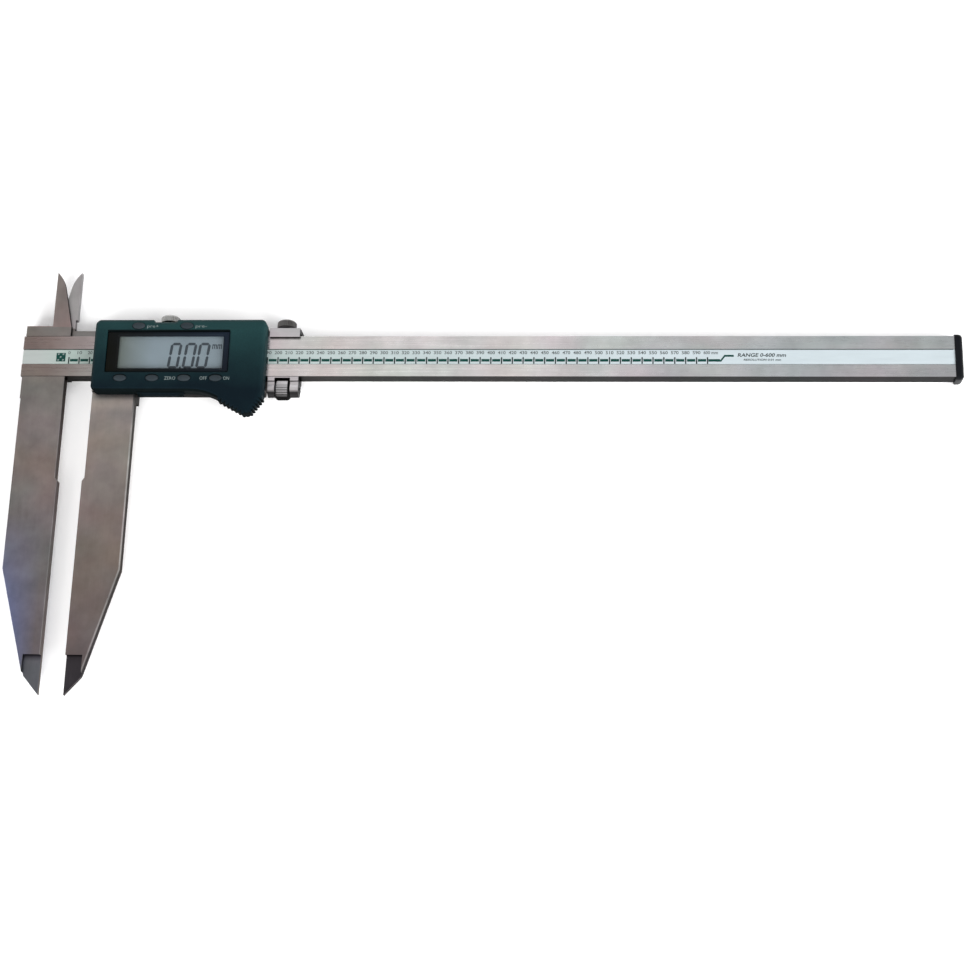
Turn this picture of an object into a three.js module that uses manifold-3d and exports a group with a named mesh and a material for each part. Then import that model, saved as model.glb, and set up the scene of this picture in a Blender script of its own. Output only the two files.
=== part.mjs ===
// Long-jaw digital caliper, lying on its back: the beam runs along +X, the jaws reach towards -Y and
// the scale and the display face +Z. Sizes are in millimetres. While it is built, X = 0 is the fixed
// jaw's measuring face, Y = 0 the beam's upper edge and Z = 0 the beam's scale face. The last lines
// move the origin to the centre of the underside.
import * as THREE from 'three';
import { mergeVertices } from 'three/addons/utils/BufferGeometryUtils.js';
import Module from 'manifold-3d';

const wasm = await Module();
wasm.setup();

// ---- driving dimensions ----
const BEAM_LEFT = -45;
const BEAM_RIGHT = 826;
const BEAM_WIDTH = 40;
const BEAM_DEPTH = 15;
const CLEAR = 0.3;            // gap between touching pieces
const BACK = -17.8;           // plane that the caliper rests on
const LABEL_TOP = -13;        // scale label, across the beam
const LABEL_BOTTOM = -28;
const LABEL_RECESS = 1.6;

const OPENING = 23.5;         // distance between the measuring faces as built
const JAW_WIDTH = 42.8;
const JAW_DEPTH = 9;
const JAW_TIP_Y = -342.5;
const JAW_TAPER_Y = -227;     // the outer edge starts to slope in here
const JAW_KNIFE_Y = -306.5;   // the tip is thinner below this line
const JAW_RELIEF_Y = -140;    // above this line the measuring face is set back
const JAW_RELIEF = 2.2;
const KNIFE_DEPTH = 4.5;
const KNIFE_WIDTH = 15.6;     // the thin tip's strip beside the measuring face
const HEAD_LEFT = -43.5;
const HEAD_TOP = 10.5;

const BLADE_X = -18.6;        // fixed inside blade's measuring edge, where the moving one meets it
const BLADE_TIP_Y = 66;
const BLADE_DEPTH = 3.9;
const BLADE_OFFSET = 1.3;     // how far the moving blade's edge stands back when the jaws are closed
const BLADE_WIDTH = 18;
const ARM_FRONT = -4.3;       // moving inside blade and its arm, behind the fixed blade
const ARM_BACK = -9.8;
const ARM_TOP = 7;

const FRAME_LEFT = OPENING + JAW_RELIEF;
const FRAME_RIGHT = 188.2;
const FRAME_TOP = 9.5;
const FRAME_BOTTOM = -56;
const FRAME_FRONT = 3;
const CHANNEL_TOP = 2.1;      // the channel holds the beam and the gib strip above it
const FOOT_BOTTOM = -64;      // lower edge of the flat foot behind the jaws

const HOUSING_LEFT = 26.6;
const HOUSING_RIGHT = 189.5;
const HOUSING_TOP = 12.5;
const HOUSING_BOTTOM = -58.5;
const HOUSING_BACK = 0.4;
const HOUSING_FRONT = 14;
const HOUSING_WALL = 2;
const GRIP_START = [149.8, -66.7];
const GRIP_APEX = [176, -81.6];
const GRIP_END = [189.5, -63];

const WINDOW = { left: 39, right: 156, top: 0.2, bottom: -40.5 };
const VIEW = { left: 50.3, right: 149.6, top: -4.2, bottom: -36.2 };
const BUTTON_HALF = [6.1, 3.2];
const BUTTONS = {
  button_preset_up: [68.5, 5.3],
  button_preset_down: [114.5, 5.3],
  button_unit: [54.5, -46.7],
  button_hold: [84.9, -46.7],
  button_zero: [115.1, -46.7],
  button_power: [144.9, -46.7],
};

const DRAWER = { left: 70.5, right: 114, back: -38.5, lip: -61.6 };
const COIN_RADIUS = 10;

const SLIDER_LOCK = { x: 93.4, z: -6.5, radius: 9.2, bottom: 14, top: 22 };
const NOTCH = { half: 11.6, slant: 2, depth: 2.4 };   // in the housing's upper edge, under the lock
const CARRIAGE_LEFT = 191.3;
const CARRIAGE_RIGHT = 220.4;
const CARRIAGE_LOCK = { x: 205.3, z: -7.5, radius: 9.1, bottom: 9.4, top: 17.6 };
const ADJUST_Y = -51.5;       // axis of the fine-adjustment screw
const ADJUST_Z = -7.5;
const NUT = { left: 198.4, right: 211.9, radius: 9.4 };
const LUG_RADIUS = 7;
const LIP_BOTTOM = -44.5;     // front lip of the carriage, below the beam
const CARRIAGE_TOP = 7;
const CLAMP_BOTTOM = -1.9;    // the top clamp overlaps the scale face down to this line
const CLAMP_FRONT = 3;

const CAP_RIGHT = 832;

// ---- materials ----
const steel = (color, roughness) => new THREE.MeshStandardMaterial({ color, roughness, metalness: 1 });
const plastic = (color, roughness) => new THREE.MeshStandardMaterial({ color, roughness, metalness: 0 });
const beamSteel = steel(0xb9b7b4, 0.34);
const jawSteel = steel(0x8f8882, 0.38);
const screwSteel = steel(0x9a9794, 0.3);
const blackenedSteel = steel(0x3c3b3b, 0.45);
const brass = steel(0xb08d4a, 0.4);
const housingPlastic = plastic(0x17302f, 0.45);
const blackPlastic = plastic(0x131416, 0.5);
const buttonRubber = plastic(0x454b50, 0.6);
const membraneRubber = plastic(0x2a2c2e, 0.8);
const labelPaint = plastic(0xd3e2dc, 0.4);
const boardLaminate = plastic(0x1d5a3a, 0.6);
const displayGlass = plastic(0x8b979c, 0.2);
const clearSheet = new THREE.MeshStandardMaterial({
  color: 0xe8eef0, roughness: 0.08, metalness: 0, transparent: true, opacity: 0.25,
});

// ---- solids ----
function solidOf(geometry) {
  geometry.deleteAttribute('normal');
  geometry.deleteAttribute('uv');
  const merged = mergeVertices(geometry, 1e-4);
  const vertProperties = merged.attributes.position.array;
  const triVerts = new Uint32Array(merged.index.array);
  return new wasm.Manifold(new wasm.Mesh({ numProp: 3, vertProperties, triVerts }));
}

function geometryOf(solid) {
  const mesh = solid.getMesh();
  const geometry = new THREE.BufferGeometry();
  geometry.setAttribute('position', new THREE.BufferAttribute(mesh.vertProperties, 3));
  geometry.setIndex(new THREE.BufferAttribute(mesh.triVerts, 1));
  geometry.computeVertexNormals();
  return geometry;
}

function block(x0, x1, y0, y1, z0, z1) {
  const geometry = new THREE.BoxGeometry(x1 - x0, y1 - y0, z1 - z0);
  geometry.translate((x0 + x1) / 2, (y0 + y1) / 2, (z0 + z1) / 2);
  return solidOf(geometry);
}

function shapeOf(points) {
  return new THREE.Shape(points.map(([x, y]) => new THREE.Vector2(x, y)));
}

function prism(shape, z0, z1, curveSegments = 6) {
  const options = { depth: z1 - z0, bevelEnabled: false, curveSegments };
  const geometry = new THREE.ExtrudeGeometry(shape, options);
  geometry.translate(0, 0, z0);
  return solidOf(geometry);
}

// Turned piece: profile is a list of [radius, height] from the axis and back to it. Its height
// runs along axis from the point base.
function turned(profile, axis, base, segments = 24) {
  const points = profile.map(([radius, height]) => new THREE.Vector2(radius, height));
  const geometry = new THREE.LatheGeometry(points, segments);
  const up = new THREE.Vector3(0, 1, 0);
  geometry.applyQuaternion(new THREE.Quaternion().setFromUnitVectors(up, axis));
  geometry.translate(...base);
  return solidOf(geometry);
}

function pin(radius, length, axis, base, segments = 24) {
  return turned([[0, 0], [radius, 0], [radius, length], [0, length]], axis, base, segments);
}

const ALONG_X = new THREE.Vector3(1, 0, 0);
const ALONG_Y = new THREE.Vector3(0, 1, 0);
const ALONG_Z = new THREE.Vector3(0, 0, 1);

function joined(...solids) {
  return solids.reduce((sum, solid) => sum.add(solid));
}

function cut(solid, ...tools) {
  return tools.reduce((rest, tool) => rest.subtract(tool), solid);
}

const caliper = new THREE.Group();

function place(name, solid, material) {
  const mesh = new THREE.Mesh(geometryOf(solid), material);
  mesh.name = name;
  caliper.add(mesh);
}

// ---- beam, fixed jaw, scale and end cap ----
const RIVETS = [[-34, -8], [-34, -32], [-8, -20]];
const RIVET_RADIUS = 3;
const RIVET_DEPTH = 8;        // how far a rivet goes into the beam

// Long jaw below the beam. side is 1 for a jaw whose body lies at +X of its measuring face faceX.
function longJaw(faceX, side) {
  const at = (out, y) => [faceX + side * out, y];
  const slope = 28 / 98.5;
  const outer = (y) => JAW_WIDTH - slope * (JAW_TAPER_Y - y);
  const knifeOuterY = JAW_TAPER_Y - (JAW_WIDTH - KNIFE_WIDTH) / slope;
  const upper = shapeOf([
    at(JAW_RELIEF, -45), at(JAW_RELIEF, JAW_RELIEF_Y), at(0, JAW_RELIEF_Y - 3), at(0, JAW_KNIFE_Y),
    at(KNIFE_WIDTH, JAW_KNIFE_Y), at(KNIFE_WIDTH, knifeOuterY), at(JAW_WIDTH, JAW_TAPER_Y),
    at(JAW_WIDTH, -45),
  ]);
  const shoulderY = -325.5;
  const knife = shapeOf([
    at(0, JAW_KNIFE_Y + 2), at(0, JAW_TIP_Y), at(outer(shoulderY), shoulderY),
    at(outer(knifeOuterY + 3), knifeOuterY + 3), at(KNIFE_WIDTH + 1, JAW_KNIFE_Y + 2),
  ]);
  return joined(prism(upper, -JAW_DEPTH, 0), prism(knife, -JAW_DEPTH, -KNIFE_DEPTH));
}

// Inside-measuring blade above the beam: a straight measuring edge at edgeX, and a back edge that
// curves over to meet it at the tip. side is 1 for a blade whose body lies at +X of its edge.
function insideBlade(edgeX, side, base, tipY, relief) {
  const reliefY = 18;
  const shape = new THREE.Shape();
  shape.moveTo(edgeX + side * relief, base);
  shape.lineTo(edgeX + side * relief, reliefY);
  shape.lineTo(edgeX, reliefY);
  shape.lineTo(edgeX, tipY);
  shape.quadraticCurveTo(edgeX + side * 7.5, tipY - 8, edgeX + side * 9.4, tipY - 18.5);
  shape.lineTo(edgeX + side * BLADE_WIDTH, 9);
  shape.lineTo(edgeX + side * BLADE_WIDTH, base);
  return shape;
}

function fixedJaw() {
  const headRight = -0.6;
  const footRight = -12;
  const back = block(HEAD_LEFT, headRight, -BEAM_WIDTH, HEAD_TOP, BACK, -BEAM_DEPTH - CLEAR);
  const heel = block(HEAD_LEFT, footRight, FOOT_BOTTOM, -BEAM_WIDTH + 1, BACK, -BEAM_DEPTH - CLEAR);
  const foot = block(HEAD_LEFT, footRight, FOOT_BOTTOM, -BEAM_WIDTH - CLEAR, BACK, -2);
  const lower = block(HEAD_LEFT, -JAW_RELIEF, -62, -BEAM_WIDTH - CLEAR, -JAW_DEPTH, 0);
  const upper = block(HEAD_LEFT, headRight, CLEAR, HEAD_TOP, -BLADE_DEPTH, 0);
  const leftWall = block(HEAD_LEFT, -38.6, CLEAR, HEAD_TOP, BACK, 0);
  const blade = prism(insideBlade(BLADE_X, 1, HEAD_TOP - 3, BLADE_TIP_Y, 0), -BLADE_DEPTH, 0);
  const jaw = longJaw(0, -1);
  const holes = RIVETS.map(([x, y]) => pin(RIVET_RADIUS + CLEAR, 6, ALONG_Z, [x, y, BACK - 1]));
  return cut(joined(back, heel, foot, lower, jaw, upper, leftWall, blade), ...holes);
}

const CAP_SCREWS = [-10, -30];

function mainBeam() {
  const bar = block(BEAM_LEFT, BEAM_RIGHT, -BEAM_WIDTH, 0, -BEAM_DEPTH, 0);
  const recess = block(BEAM_LEFT - 1, BEAM_RIGHT + 1, LABEL_BOTTOM, LABEL_TOP, -LABEL_RECESS, 1);
  const rivetHoles = RIVETS.map(([x, y]) =>
    pin(RIVET_RADIUS + CLEAR, RIVET_DEPTH + 1, ALONG_Z, [x, y, -BEAM_DEPTH - 1]));
  const screwHoles = CAP_SCREWS.map((y) => pin(1.8, 13, ALONG_X, [BEAM_RIGHT - 12, y, -8]));
  return cut(bar, recess, ...rivetHoles, ...screwHoles);
}

function endCap() {
  const corner = 3;
  const [left, right, top, bottom] = [BEAM_RIGHT - 1.5, CAP_RIGHT, 2, -42.4];
  const shape = new THREE.Shape();
  shape.moveTo(left, top);
  shape.lineTo(right - corner, top);
  shape.absarc(right - corner, top - corner, corner, Math.PI / 2, 0, true);
  shape.absarc(right - corner, bottom + corner, corner, 0, -Math.PI / 2, true);
  shape.lineTo(left, bottom);
  const body = prism(shape, BACK, 1.2);
  const socket = block(left - 1, BEAM_RIGHT + CLEAR, -BEAM_WIDTH - CLEAR, CLEAR,
    -BEAM_DEPTH - CLEAR, CLEAR);
  const holes = CAP_SCREWS.map((y) => joined(
    pin(1.8, 8, ALONG_X, [BEAM_RIGHT, y, -8]),
    pin(3.3, 4, ALONG_X, [CAP_RIGHT - 2.3, y, -8])));
  return cut(body, socket, ...holes);
}

place('main_beam', mainBeam(), beamSteel);
place('fixed_jaw', fixedJaw(), jawSteel);
RIVETS.forEach(([x, y], i) => {
  const length = -BEAM_DEPTH + RIVET_DEPTH - CLEAR - (BACK + 0.4);
  place(`jaw_rivet_${i + 1}`, pin(RIVET_RADIUS, length, ALONG_Z, [x, y, BACK + 0.4]), screwSteel);
});
place('stator_strip',
  block(BEAM_LEFT + 4, BEAM_RIGHT - 4, LABEL_BOTTOM + 0.4, LABEL_TOP - 0.4, -1.3, -0.7), boardLaminate);
place('scale_label',
  block(BEAM_LEFT + 0.4, BEAM_RIGHT - 1, LABEL_BOTTOM + 0.3, LABEL_TOP - 0.3, -0.4, -0.1), labelPaint);
place('end_cap', endCap(), blackPlastic);
CAP_SCREWS.forEach((y, i) => {
  const profile = [[0, 0], [1.5, 0], [1.5, 15], [3, 15], [3, 16.6], [0, 16.6]];
  place(`end_cap_screw_${i + 1}`, turned(profile, ALONG_X, [BEAM_RIGHT - 11, y, -8]), screwSteel);
});

// ---- slider frame and what is bolted to it ----
const PLATE_SCREWS = [[40, 5.8], [176, 5.8], [41, -49.5], [150, -48]];
const HOUSING_SCREWS = [[31.5, 5.8], [184, 5.8], [31.5, -49], [164, -49]];
const GIB_SCREWS = [60, 150];
const BOARD = { left: 42, right: 158, top: -3, bottom: -37 };

function sliderFrame() {
  const body = block(FRAME_LEFT, FRAME_RIGHT, FRAME_BOTTOM, FRAME_TOP, -BEAM_DEPTH, FRAME_FRONT);
  const foot = block(FRAME_LEFT, OPENING + JAW_WIDTH, FOOT_BOTTOM, FRAME_BOTTOM + 2, BACK, -2);
  const jaw = longJaw(OPENING, 1);
  const edge = BLADE_X + OPENING - BLADE_OFFSET;
  const arm = block(edge - BLADE_WIDTH, FRAME_LEFT + 1, 0.5, ARM_TOP, ARM_BACK, ARM_FRONT);
  const blade = prism(insideBlade(edge, -1, ARM_TOP - 3, BLADE_TIP_Y + 1, 1.8), ARM_BACK, ARM_FRONT);
  const channel = block(0, 200, -BEAM_WIDTH - CLEAR, CHANNEL_TOP, -BEAM_DEPTH - 1, 0.4);
  const opening = block(BOARD.left - 2, BOARD.right + 2, BOARD.bottom - 1.5, BOARD.top + 1.5, 0, 4);
  const plateHoles = PLATE_SCREWS.map(([x, y]) => pin(1.8, 12, ALONG_Z, [x, y, -BEAM_DEPTH - 1]));
  const housingHoles = HOUSING_SCREWS.flatMap(([x, y]) => [
    pin(2.6, 12, ALONG_Z, [x, y, -BEAM_DEPTH - 1]), pin(1.4, 20, ALONG_Z, [x, y, -BEAM_DEPTH - 1])]);
  const gibHoles = GIB_SCREWS.map((x) => pin(1.9, 12, ALONG_Y, [x, 0, -6.5]));
  const lockHole = pin(2.9, 12, ALONG_Y, [SLIDER_LOCK.x, 0, SLIDER_LOCK.z]);
  const screwHole = pin(3.2, 30, ALONG_X, [FRAME_RIGHT - 18, ADJUST_Y, ADJUST_Z]);
  const shell = cut(joined(body, foot), channel);
  return cut(joined(shell, jaw, arm, blade), opening, ...plateHoles, ...housingHoles, ...gibHoles,
    lockHole, screwHole);
}

function backPlate() {
  const plate = block(FRAME_LEFT + 1, FRAME_RIGHT - 1, FRAME_BOTTOM + 2.4, FRAME_TOP - 0.5,
    BACK, -BEAM_DEPTH - CLEAR);
  const holes = PLATE_SCREWS.map(([x, y]) => pin(3.2, 5, ALONG_Z, [x, y, BACK - 1]));
  return cut(plate, ...holes);
}

place('slider_frame', sliderFrame(), jawSteel);
place('back_plate', backPlate(), jawSteel);
PLATE_SCREWS.forEach(([x, y], i) => {
  const profile = [[0, 0], [2.9, 0], [2.9, 1.8], [1.5, 1.8], [1.5, 9.5], [0, 9.5]];
  place(`back_plate_screw_${i + 1}`, turned(profile, ALONG_Z, [x, y, BACK + 0.3]), screwSteel);
});
place('gib_strip', block(FRAME_LEFT + 2, FRAME_RIGHT - 1, CLEAR, CHANNEL_TOP - CLEAR, -12, -1), brass);
GIB_SCREWS.forEach((x, i) => {
  place(`gib_screw_${i + 1}`, pin(1.6, 6, ALONG_Y, [x, CHANNEL_TOP + 0.1, -6.5], 16), blackenedSteel);
});
place('adjust_screw', pin(2.9, 48, ALONG_X, [FRAME_RIGHT - 17, ADJUST_Y, ADJUST_Z]), screwSteel);

// ---- electronics ----
place('sensor_board', block(BOARD.left, BOARD.right, BOARD.bottom, BOARD.top, 0.6, 2.2), boardLaminate);
place('controller_chip', block(92, 104, -26, -14, 2.5, 4.2), blackPlastic);
[VIEW.top - 0.5, VIEW.bottom + 2.5].forEach((y, i) => {
  place(`contact_strip_${i + 1}`, block(56, 144, y - 2, y, 2.5, 5.2), membraneRubber);
});
place('display_panel', block(47, 153, VIEW.bottom - 1.6, VIEW.top + 1.6, 5.5, 8), displayGlass);
place('display_window', block(44, 155, WINDOW.bottom + 1, WINDOW.top - 1, 8.3, 9.3), clearSheet);
function displayBezel() {
  const gap = 0.4;
  const frame = block(WINDOW.left + gap, WINDOW.right - gap, WINDOW.bottom + gap, WINDOW.top - gap,
    9.6, 12);
  return cut(frame, block(VIEW.left, VIEW.right, VIEW.bottom, VIEW.top, 9, 13));
}
place('display_bezel', displayBezel(), blackPlastic);

// ---- front housing with its thumb grip ----
// Saw-tooth edge from one point to another, teeth standing out to the left of the way it runs.
function teeth(shape, [x0, y0], [x1, y1], count, depth) {
  const length = Math.hypot(x1 - x0, y1 - y0);
  const normal = [(y0 - y1) / length, (x1 - x0) / length];
  for (let i = 0; i < count; i += 1) {
    const along = (i + 0.5) / count;
    shape.lineTo(x0 + (x1 - x0) * along + normal[0] * depth, y0 + (y1 - y0) * along + normal[1] * depth);
    shape.lineTo(x0 + ((x1 - x0) * (i + 1)) / count, y0 + ((y1 - y0) * (i + 1)) / count);
  }
}

function housingShape() {
  const corner = 4;
  const [left, right, top, bottom] = [HOUSING_LEFT, HOUSING_RIGHT, HOUSING_TOP, HOUSING_BOTTOM];
  const shape = new THREE.Shape();
  shape.moveTo(left + corner, bottom);
  shape.lineTo(116, bottom);
  shape.quadraticCurveTo(136, bottom - 0.3, ...GRIP_START);
  teeth(shape, GRIP_START, GRIP_APEX, 7, -1);
  teeth(shape, GRIP_APEX, GRIP_END, 6, -1);
  shape.lineTo(right, top - corner);
  shape.absarc(right - corner, top - corner, corner, 0, Math.PI / 2, false);
  shape.lineTo(SLIDER_LOCK.x + NOTCH.half, top);
  shape.lineTo(SLIDER_LOCK.x + NOTCH.half - NOTCH.slant, top - NOTCH.depth);
  shape.lineTo(SLIDER_LOCK.x - NOTCH.half + NOTCH.slant, top - NOTCH.depth);
  shape.lineTo(SLIDER_LOCK.x - NOTCH.half, top);
  shape.lineTo(left + corner, top);
  shape.absarc(left + corner, top - corner, corner, Math.PI / 2, Math.PI, false);
  shape.absarc(left + corner, bottom + corner, corner, Math.PI, 1.5 * Math.PI, false);
  return shape;
}

const BUTTON_CLEAR = 0.35;
const BUTTON_FLANGE = 0.7;

function ellipse([x, y], grow) {
  const shape = new THREE.Shape();
  shape.absellipse(x, y, BUTTON_HALF[0] + grow, BUTTON_HALF[1] + grow, 0, 2 * Math.PI, false, 0);
  return shape;
}

function frontHousing() {
  const outer = prism(housingShape(), HOUSING_BACK, HOUSING_FRONT, 5);
  const wall = HOUSING_WALL;
  const ceiling = HOUSING_FRONT - 2.5;
  const cavity = block(HOUSING_LEFT + wall, HOUSING_RIGHT - wall, FRAME_BOTTOM - CLEAR, FRAME_TOP + CLEAR,
    FRAME_FRONT + 0.4, ceiling);
  const seat = block(HOUSING_LEFT - 5, FRAME_RIGHT + CLEAR, FRAME_BOTTOM - CLEAR, FRAME_TOP + CLEAR,
    HOUSING_BACK - 1, FRAME_FRONT + 0.4);
  const bosses = HOUSING_SCREWS.map(([x, y]) => pin(2.7, ceiling - FRAME_FRONT, ALONG_Z,
    [x, y, FRAME_FRONT + 0.6], 16));
  const bossHoles = HOUSING_SCREWS.map(([x, y]) => pin(1.4, 7, ALONG_Z, [x, y, FRAME_FRONT], 16));
  const opening = block(WINDOW.left, WINDOW.right, WINDOW.bottom, WINDOW.top, 10, 16);
  const buttonHoles = Object.values(BUTTONS).map((at) => prism(ellipse(at, BUTTON_CLEAR), 10, 16));
  const slot = block(DRAWER.left - CLEAR, DRAWER.right + CLEAR, -90, FRAME_BOTTOM, 3.3, 8.1);
  const hollow = cut(outer, cavity, seat);
  return cut(joined(hollow, ...bosses), ...bossHoles, opening, ...buttonHoles, slot);
}

place('front_housing', frontHousing(), housingPlastic);
HOUSING_SCREWS.forEach(([x, y], i) => {
  const profile = [[0, 0], [2.2, 0], [2.2, 1.6], [1.1, 1.6], [1.1, 13.5], [0, 13.5]];
  place(`housing_screw_${i + 1}`, turned(profile, ALONG_Z, [x, y, -6.2], 16), screwSteel);
});

// ---- keypad ----
place('upper_membrane', block(58, 126, 3.6, 8.2, 7.9, 8.5), membraneRubber);
place('lower_membrane', block(44, 156, -50.4, -42.6, 8.3, 8.7), membraneRubber);
for (const [name, at] of Object.entries(BUTTONS)) {
  const cap = prism(ellipse(at, 0), 10.2, HOUSING_FRONT + 0.7);
  const flange = prism(ellipse(at, BUTTON_FLANGE), 9.5, 11);
  place(name, joined(cap, flange), buttonRubber);
}

// ---- battery drawer ----
const COIN = [92.2, -49.2];

function batteryDrawer() {
  const tray = block(DRAWER.left, DRAWER.right, HOUSING_BOTTOM, DRAWER.back, 3.6, 7.9);
  const lip = shapeOf([[HOUSING_BOTTOM - 0.3, 1], [DRAWER.lip + 0.5, 1], [DRAWER.lip, 3],
    [HOUSING_BOTTOM - 0.3, 9.5]]);
  const along = { depth: DRAWER.right - DRAWER.left, bevelEnabled: false };
  const lipGeometry = new THREE.ExtrudeGeometry(lip, along);
  const toX = new THREE.Matrix4().makeBasis(ALONG_Y, ALONG_Z, ALONG_X);
  lipGeometry.applyMatrix4(toX);
  lipGeometry.translate(DRAWER.left, 0, 0);
  const neck = block(DRAWER.left, DRAWER.right, HOUSING_BOTTOM - 1.6, HOUSING_BOTTOM + 1, 3.6, 7.9);
  const seat = pin(COIN_RADIUS + CLEAR, 3.7, ALONG_Z, [...COIN, 4.3], 32);
  return cut(joined(tray, neck, solidOf(lipGeometry)), seat);
}

place('battery_drawer', batteryDrawer(), housingPlastic);
place('battery', pin(COIN_RADIUS, 3.2, ALONG_Z, [...COIN, 4.6], 32), screwSteel);

// ---- locking screws ----
// Knurled head with a thinner collar under it, and a shank that reaches down to tipY.
function lockScrew({ x, z, radius, bottom, top }, shank, tipY) {
  const profile = [[0, tipY], [shank, tipY], [shank, bottom], [radius - 1.2, bottom], [radius, bottom + 1],
    [radius, top - 1], [radius - 1, top], [0, top]];
  return turned(profile, ALONG_Y, [x, 0, z], 32);
}

place('slider_lock_screw', lockScrew(SLIDER_LOCK, 2.5, CHANNEL_TOP + 0.1), screwSteel);

// ---- fine-adjustment carriage ----
function carriageBlock() {
  const [left, right] = [CARRIAGE_LEFT, CARRIAGE_RIGHT];
  const body = block(left, right, LIP_BOTTOM, CARRIAGE_TOP, BACK + 0.6, 0);
  const clamp = block(left, right - 0.4, CLAMP_BOTTOM, CARRIAGE_TOP, -1, CLAMP_FRONT);
  const barrel = pin(LUG_RADIUS, right - left, ALONG_X, [left, ADJUST_Y, ADJUST_Z], 32);
  const web = block(left, right, ADJUST_Y, LIP_BOTTOM + 1,
    ADJUST_Z - LUG_RADIUS, ADJUST_Z + LUG_RADIUS - 1);
  const channel = block(left - 1, right + 1, -BEAM_WIDTH - CLEAR, CHANNEL_TOP,
    -BEAM_DEPTH - CLEAR, CLEAR);
  const slot = block(NUT.left - 0.5, NUT.right + 0.5, -70, -BEAM_WIDTH - 1.6, -30, 10);
  const lockHole = pin(2.9, 20, ALONG_Y, [CARRIAGE_LOCK.x, 0, CARRIAGE_LOCK.z]);
  const rodHole = pin(3.2, right - left + 2, ALONG_X, [left - 1, ADJUST_Y, ADJUST_Z]);
  return cut(joined(body, clamp, barrel, web), channel, slot, lockHole, rodHole);
}

function adjustNut() {
  const { left, right, radius } = NUT;
  const width = right - left;
  const ring = [[0, 0], [radius - 1, 0], [radius, 1], [radius, width - 1], [radius - 1, width], [0, width]];
  return cut(turned(ring, ALONG_X, [left, ADJUST_Y, ADJUST_Z], 32),
    pin(3.2, 20, ALONG_X, [left - 2, ADJUST_Y, ADJUST_Z]));
}

place('carriage_block', carriageBlock(), screwSteel);
const carriageGib = block(CARRIAGE_LEFT + 1, CARRIAGE_RIGHT - 1, CLEAR, CHANNEL_TOP - CLEAR, -12, -2);
place('carriage_gib', carriageGib, brass);
place('carriage_lock_screw', lockScrew(CARRIAGE_LOCK, 2.5, CHANNEL_TOP + 0.1), blackenedSteel);
place('adjust_nut', adjustNut(), screwSteel);

// ---- origin: centre of the underside ----
const centreX = (BEAM_LEFT + CAP_RIGHT) / 2;
const centreY = (BLADE_TIP_Y + 1 + JAW_TIP_Y) / 2;
caliper.position.set(-centreX, -centreY, -BACK);
caliper.updateMatrixWorld(true);

export default caliper;
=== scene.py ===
"""Looks of the long-jaw digital caliper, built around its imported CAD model.

Pieces are drawn in millimetres in the instrument's own axes: x = 0 is the fixed jaw's measuring face,
y = 0 the beam's upper edge and z = 0 the beam's scale face. metres() takes such a point to the scene.
"""

import math

import bmesh
import bpy
from mathutils import Matrix, Vector


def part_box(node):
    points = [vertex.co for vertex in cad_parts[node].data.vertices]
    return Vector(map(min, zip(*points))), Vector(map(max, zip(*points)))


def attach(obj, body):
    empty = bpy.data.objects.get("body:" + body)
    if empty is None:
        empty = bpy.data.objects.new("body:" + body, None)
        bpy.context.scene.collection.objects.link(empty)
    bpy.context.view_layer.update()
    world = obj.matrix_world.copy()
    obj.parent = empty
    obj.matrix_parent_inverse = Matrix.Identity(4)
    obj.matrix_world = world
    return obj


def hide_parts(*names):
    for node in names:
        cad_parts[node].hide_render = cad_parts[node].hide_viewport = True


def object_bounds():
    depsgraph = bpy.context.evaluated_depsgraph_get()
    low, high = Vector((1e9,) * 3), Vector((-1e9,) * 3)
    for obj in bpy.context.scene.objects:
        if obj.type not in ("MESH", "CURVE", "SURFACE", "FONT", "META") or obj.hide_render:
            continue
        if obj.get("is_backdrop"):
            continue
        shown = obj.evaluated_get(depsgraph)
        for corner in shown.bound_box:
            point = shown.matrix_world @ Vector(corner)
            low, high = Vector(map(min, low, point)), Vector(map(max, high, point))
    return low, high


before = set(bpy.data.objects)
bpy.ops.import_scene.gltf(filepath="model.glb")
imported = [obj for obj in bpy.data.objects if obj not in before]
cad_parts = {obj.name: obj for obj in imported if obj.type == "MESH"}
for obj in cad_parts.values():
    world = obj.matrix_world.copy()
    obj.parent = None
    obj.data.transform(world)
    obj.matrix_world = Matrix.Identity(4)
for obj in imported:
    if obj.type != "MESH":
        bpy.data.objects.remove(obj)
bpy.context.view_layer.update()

MM = 0.001
ORIGIN = Vector((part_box("fixed_jaw")[1].x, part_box("main_beam")[1].y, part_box("main_beam")[1].z))
AXES = {"X": Vector((1, 0, 0)), "Y": Vector((0, 1, 0)), "Z": Vector((0, 0, 1))}


def metres(point):
    return Vector(point) * MM + ORIGIN


def box_mm(node):
    """A CAD node's lowest and highest corner in the drawing's millimetres."""
    return [(corner - ORIGIN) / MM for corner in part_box(node)]


# ---- materials

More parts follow.
